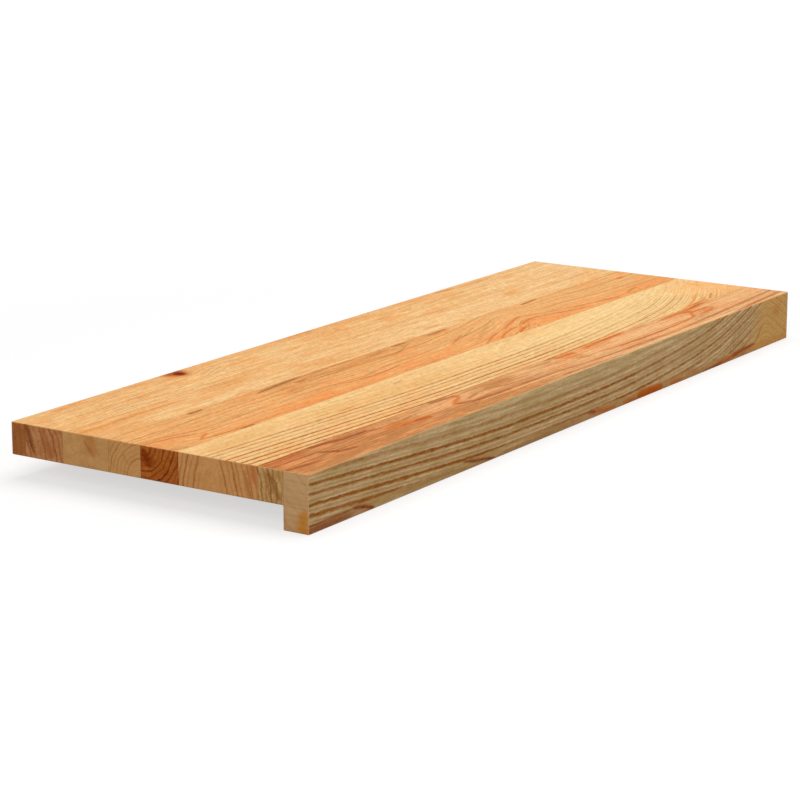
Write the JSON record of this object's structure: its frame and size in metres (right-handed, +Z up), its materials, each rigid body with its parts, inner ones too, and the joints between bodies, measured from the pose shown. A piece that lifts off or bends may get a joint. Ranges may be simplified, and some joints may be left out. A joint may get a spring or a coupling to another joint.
{
  "type": "stair tread",
  "caption": "Solid oak stair tread glued up from full-length staves, with a deeper square nosing strip flush with the walking face.",
  "frame": {"origin": "centre of the tread's footprint, level with the underside of the nosing", "axes": "+X along the step, +Y from the nosing to the wall, +Z up out of the walking face"},
  "size_m": [0.84, 0.3, 0.048],
  "materials": {
    "oak_stave": "planed and sanded oak under a clear satin oil, honey to reddish tan, growth-ring figure",
    "oak_nosing": "planed and sanded oak under a clear satin oil, greyish tan, long arched figure on the front"
  },
  "bodies": {
    "root": {"nosing_strip": "oak_nosing", "stave_1": "oak_stave", "stave_2": "oak_stave", "stave_3": "oak_stave", "stave_4": "oak_stave", "stave_5": "oak_stave", "stave_6": "oak_stave", "stave_7": "oak_stave"}
  },
  "joints": []
}
